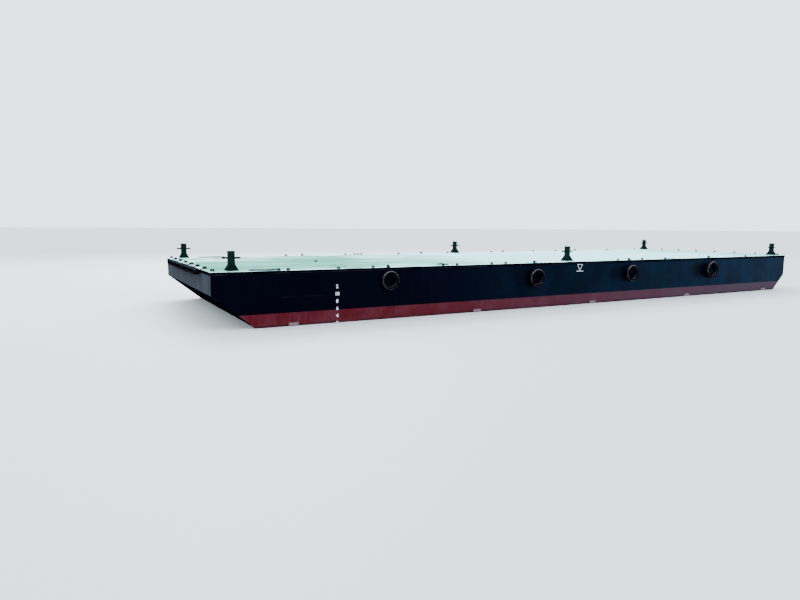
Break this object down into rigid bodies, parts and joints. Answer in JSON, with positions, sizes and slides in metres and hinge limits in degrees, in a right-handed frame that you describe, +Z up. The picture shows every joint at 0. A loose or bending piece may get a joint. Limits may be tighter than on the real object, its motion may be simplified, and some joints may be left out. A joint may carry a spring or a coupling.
{
  "type": "river deck barge",
  "caption": "Flat-topped steel deck barge with raked bow and stern, mooring bollards, lashing lugs, mooring ropes, skegs, and worn tyres slung over its sides and bow as swinging and fixed fenders.",
  "frame": {"origin": "under the middle of the whole object, on the plane of the flat bottom", "axes": "+X to the bow, +Y to port, +Z up"},
  "size_m": [24.6, 7.7796, 2.235],
  "materials": {
    "hull_navy": "glossy marine enamel, near-black navy",
    "antifouling_red": "satin dusty red antifouling",
    "deck_green": "pale mint green deck paint, worn and stained",
    "fitting_green": "dark green gloss paint",
    "tyre_rubber": "weathered black rubber",
    "rope": "grimy laid rope"
  },
  "bodies": {
    "barge": {"stern_transom": "hull_navy", "stern_rake_plate": "hull_navy", "bottom_plate": "antifouling_red", "bow_rake_plate": "hull_navy", "bow_transom": "hull_navy", "deck_margin": "deck_green", "cargo_deck": "deck_green", "port_side_upper": "hull_navy", "port_side_lower": "antifouling_red", "starboard_side_upper": "hull_navy", "starboard_side_lower": "antifouling_red", "port_rub_rail": "hull_navy", "starboard_rub_rail": "hull_navy", "bow_rub_rail": "hull_navy", "stern_rub_rail": "hull_navy", "bow_lug_bar": "fitting_green", "stern_lug_bar": "fitting_green", "port_bow_bollard": "fitting_green", "starboard_bow_bollard": "fitting_green", "port_middle_bollard": "fitting_green", "starboard_middle_bollard": "fitting_green", "port_stern_bollard": "fitting_green", "starboard_stern_bollard": "fitting_green", "port_tyre_lug_1": "fitting_green", "port_tyre_lug_2": "fitting_green", "port_tyre_lug_3": "fitting_green", "port_tyre_lug_4": "fitting_green", "starboard_tyre_lug_1": "fitting_green", "starboard_tyre_lug_2": "fitting_green", "starboard_tyre_lug_3": "fitting_green", "starboard_tyre_lug_4": "fitting_green", "bow_tyre_1": "tyre_rubber", "bow_tyre_2": "tyre_rubber", "bow_tyre_3": "tyre_rubber", "bow_tyre_4": "tyre_rubber", "bow_tyre_5": "tyre_rubber", "bow_manhole_cover": "deck_green", "stern_manhole_cover": "deck_green", "port_bow_rope": "rope", "port_side_rope": "rope", "starboard_bow_rope": "rope", "port_skeg": "antifouling_red", "starboard_skeg": "antifouling_red"},
    "port_fender_1": {"port_tyre_1": "tyre_rubber", "port_sling_1": "rope"},
    "port_fender_2": {"port_tyre_2": "tyre_rubber", "port_sling_2": "rope"},
    "port_fender_3": {"port_tyre_3": "tyre_rubber", "port_sling_3": "rope"},
    "port_fender_4": {"port_tyre_4": "tyre_rubber", "port_sling_4": "rope"},
    "starboard_fender_1": {"starboard_tyre_1": "tyre_rubber", "starboard_sling_1": "rope"},
    "starboard_fender_2": {"starboard_tyre_2": "tyre_rubber", "starboard_sling_2": "rope"},
    "starboard_fender_3": {"starboard_tyre_3": "tyre_rubber", "starboard_sling_3": "rope"},
    "starboard_fender_4": {"starboard_tyre_4": "tyre_rubber", "starboard_sling_4": "rope"}
  },
  "joints": [
    {"name": "port_swing_1", "type": "hinge", "parent": "barge", "child": "port_fender_1", "pos_m": [7.195, 3.63, 1.77], "axis": [1, 0, 0], "range_deg": [0, 80]},
    {"name": "port_swing_2", "type": "hinge", "parent": "barge", "child": "port_fender_2", "pos_m": [1.815, 3.63, 1.77], "axis": [1, 0, 0], "range_deg": [0, 80]},
    {"name": "port_swing_3", "type": "hinge", "parent": "barge", "child": "port_fender_3", "pos_m": [-2.615, 3.63, 1.77], "axis": [1, 0, 0], "range_deg": [0, 80]},
    {"name": "port_swing_4", "type": "hinge", "parent": "barge", "child": "port_fender_4", "pos_m": [-7.15, 3.63, 1.77], "axis": [1, 0, 0], "range_deg": [0, 80]},
    {"name": "starboard_swing_1", "type": "hinge", "parent": "barge", "child": "starboard_fender_1", "pos_m": [7.195, -3.63, 1.77], "axis": [-1, 0, 0], "range_deg": [0, 80]},
    {"name": "starboard_swing_2", "type": "hinge", "parent": "barge", "child": "starboard_fender_2", "pos_m": [1.815, -3.63, 1.77], "axis": [-1, 0, 0], "range_deg": [0, 80]},
    {"name": "starboard_swing_3", "type": "hinge", "parent": "barge", "child": "starboard_fender_3", "pos_m": [-2.615, -3.63, 1.77], "axis": [-1, 0, 0], "range_deg": [0, 80]},
    {"name": "starboard_swing_4", "type": "hinge", "parent": "barge", "child": "starboard_fender_4", "pos_m": [-7.15, -3.63, 1.77], "axis": [-1, 0, 0], "range_deg": [0, 80]}
  ]
}
